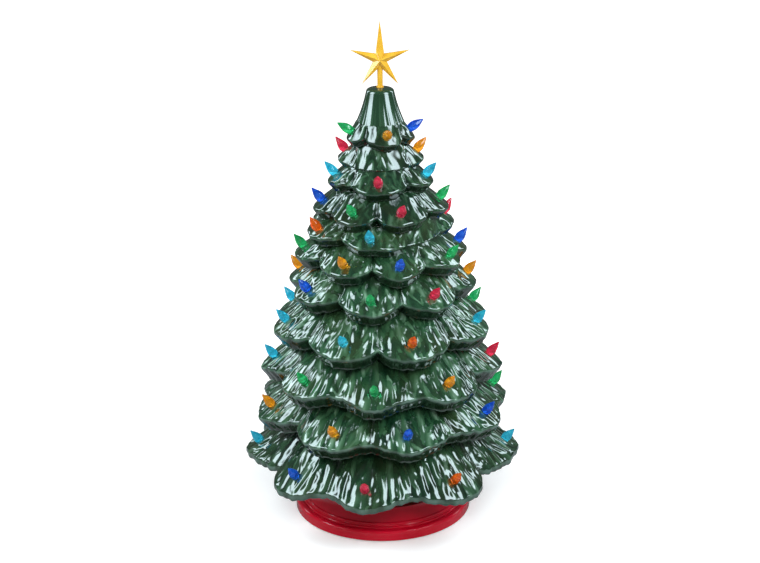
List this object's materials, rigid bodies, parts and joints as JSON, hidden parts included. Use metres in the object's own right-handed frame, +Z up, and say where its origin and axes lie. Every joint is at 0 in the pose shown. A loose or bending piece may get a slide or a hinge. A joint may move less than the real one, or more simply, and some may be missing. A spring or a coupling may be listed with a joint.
{
  "type": "ceramic christmas tree",
  "caption": "Hollow green glazed ceramic christmas tree in tiers of scalloped boughs, with push-in translucent bulbs, a star topper and a red base that holds the lamp inside.",
  "frame": {"origin": "on the surface the foot pads stand on, under the middle of the tree", "axes": "+Z up along the tree's axis, -Y towards the front, +X to the viewer's right"},
  "size_m": [0.3362, 0.3338, 0.61],
  "materials": {
    "green_glaze": "gloss",
    "red_glaze": "gloss",
    "felt": "matte",
    "star_plastic": "gloss",
    "bulb_red": "gloss",
    "bulb_green": "gloss",
    "bulb_blue": "gloss",
    "bulb_aqua": "gloss",
    "bulb_amber": "gloss",
    "bulb_orange": "gloss",
    "socket_plastic": "satin",
    "spring_steel": "satin",
    "brass": "satin",
    "insulator": "gloss",
    "solder": "satin",
    "lamp_glass": "gloss"
  },
  "bodies": {
    "base": {"base": "red_glaze", "foot_pads": "felt", "lamp_socket": "socket_plastic", "socket_clips": "spring_steel", "screw_shell": "brass", "centre_contact": "brass"},
    "tree": {"tree_body": "green_glaze", "bulbs_red": "bulb_red", "bulbs_green": "bulb_green", "bulbs_blue": "bulb_blue", "bulbs_aqua": "bulb_aqua", "bulbs_amber": "bulb_amber", "bulbs_orange": "bulb_orange"},
    "star": {"star_topper": "star_plastic"},
    "lamp": {"lamp_cap": "brass", "lamp_insulator": "insulator", "lamp_tip": "solder", "lamp_glass": "lamp_glass", "lamp_stem": "lamp_glass", "lamp_filament": "spring_steel"}
  },
  "joints": [
    {"name": "tree_lift", "type": "slide", "parent": "base", "child": "tree", "axis": [0, 0, 1], "range_m": [0, 0.12]},
    {"name": "star_lift", "type": "slide", "parent": "tree", "child": "star", "axis": [0, 0, 1], "range_m": [0, 0.03]},
    {"name": "lamp_out", "type": "slide", "parent": "base", "child": "lamp", "axis": [0, 0, 1], "range_m": [0, 0.03]}
  ]
}
